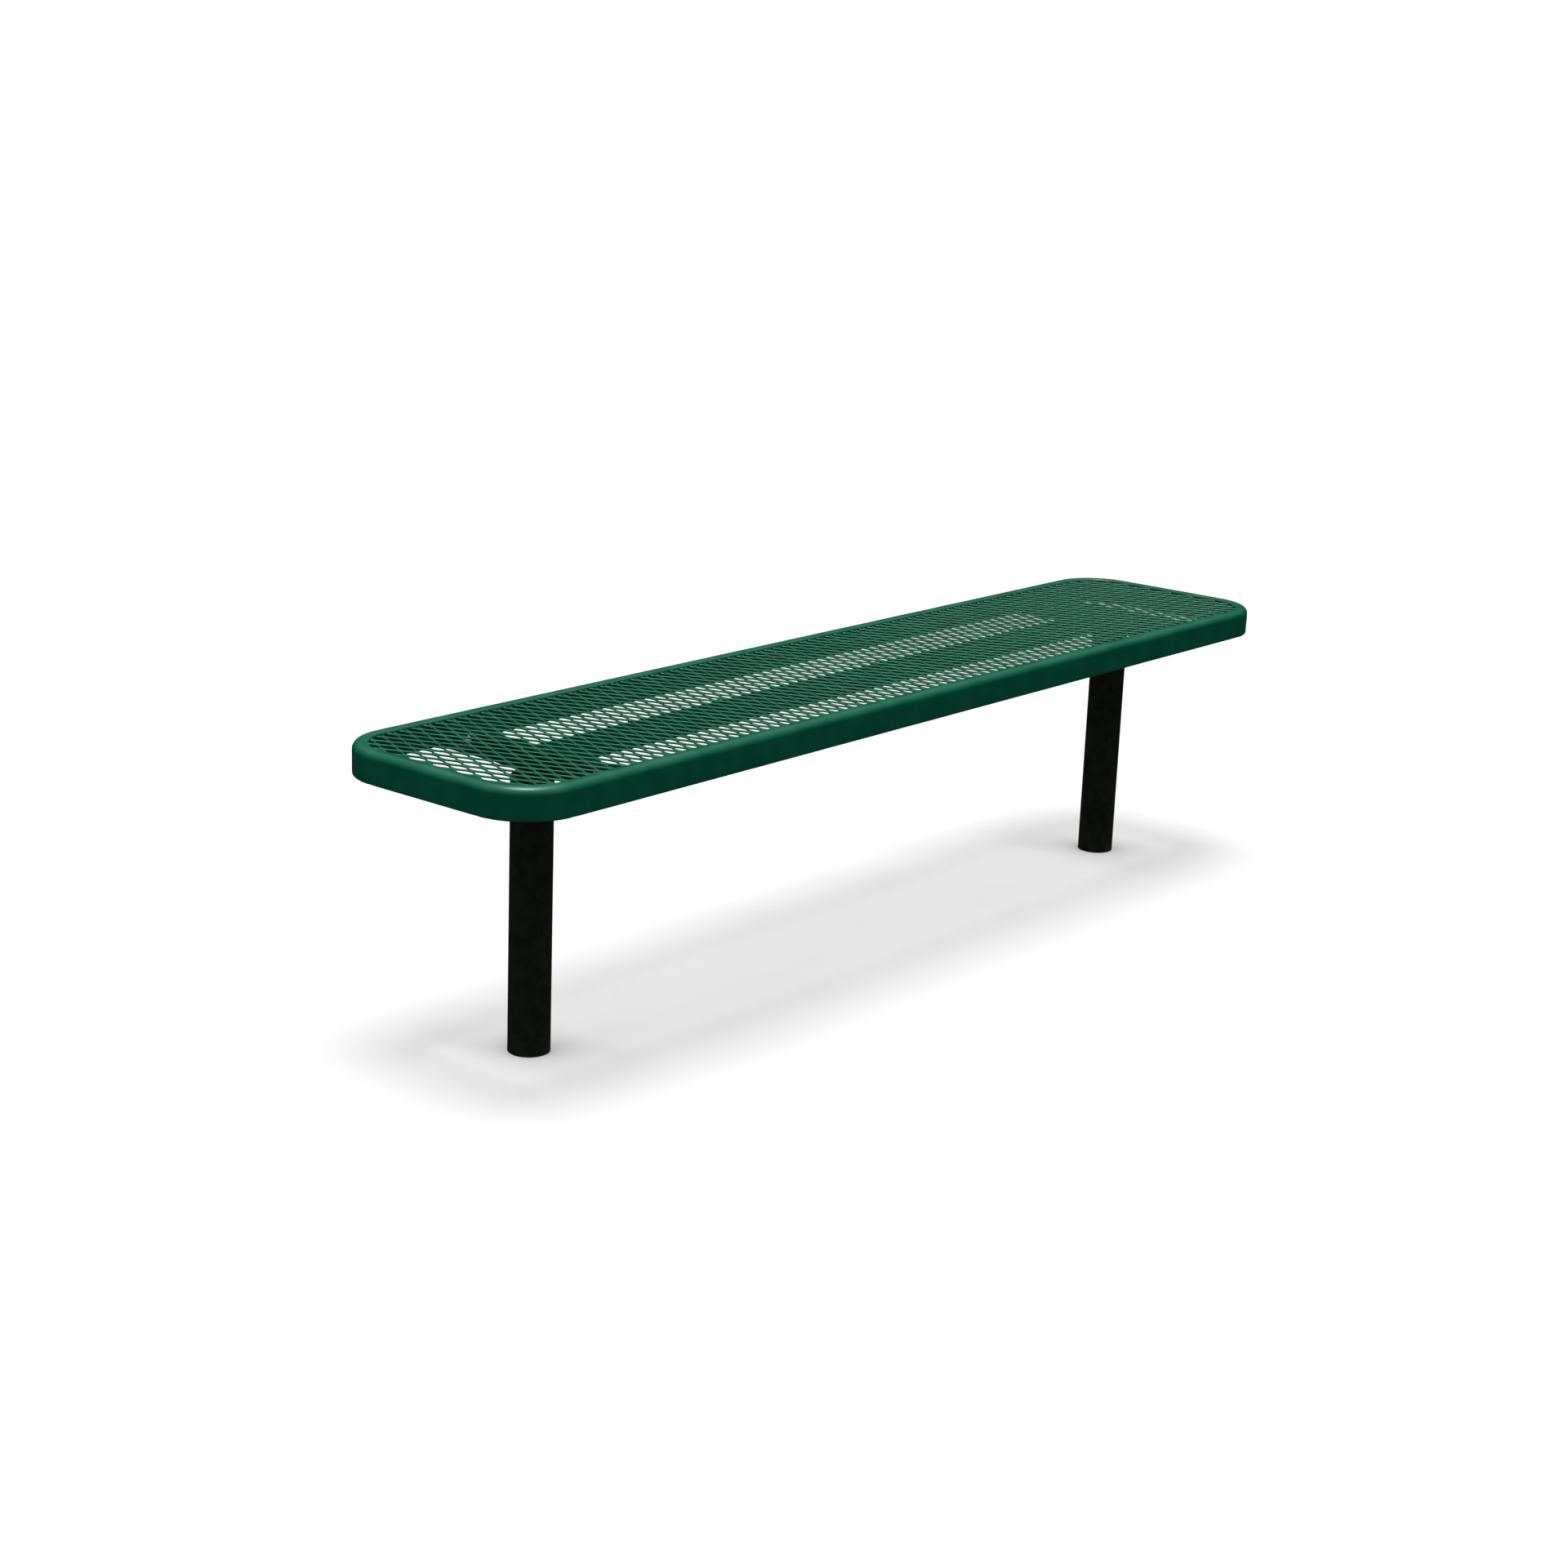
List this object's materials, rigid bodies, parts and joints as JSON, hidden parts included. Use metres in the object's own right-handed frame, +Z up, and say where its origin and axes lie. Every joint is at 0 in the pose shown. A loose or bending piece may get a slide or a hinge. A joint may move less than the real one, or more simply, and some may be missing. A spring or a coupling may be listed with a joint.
{
  "type": "backless bench",
  "caption": "Backless park bench: rolled-edge seat of plastic-coated expanded metal, bolted to two single round posts with slotted-in saddle plates.",
  "frame": {"origin": "on the ground, under the middle of the seat", "axes": "+X along the seat, +Y across it towards the back, +Z up"},
  "size_m": [1.8288, 0.381, 0.446],
  "materials": {
    "seat_plastisol": "satin dark green plastisol, dipped over steel",
    "leg_powder_coat": "satin black powder coat over steel",
    "zinc_hardware": "dull zinc plating"
  },
  "bodies": {
    "root": {"front_rail": "seat_plastisol", "back_rail": "seat_plastisol", "left_rail": "seat_plastisol", "right_rail": "seat_plastisol", "front_left_corner": "seat_plastisol", "front_right_corner": "seat_plastisol", "back_left_corner": "seat_plastisol", "back_right_corner": "seat_plastisol", "mesh_panel": "seat_plastisol", "center_stiffener": "seat_plastisol", "left_cross_bar": "seat_plastisol", "right_cross_bar": "seat_plastisol", "left_post": "leg_powder_coat", "left_saddle_plate": "leg_powder_coat", "right_post": "leg_powder_coat", "right_saddle_plate": "leg_powder_coat", "left_bolts": "zinc_hardware", "left_flat_washers": "zinc_hardware", "left_lock_washers": "zinc_hardware", "left_nuts": "zinc_hardware", "right_bolts": "zinc_hardware", "right_flat_washers": "zinc_hardware", "right_lock_washers": "zinc_hardware", "right_nuts": "zinc_hardware"}
  },
  "joints": []
}
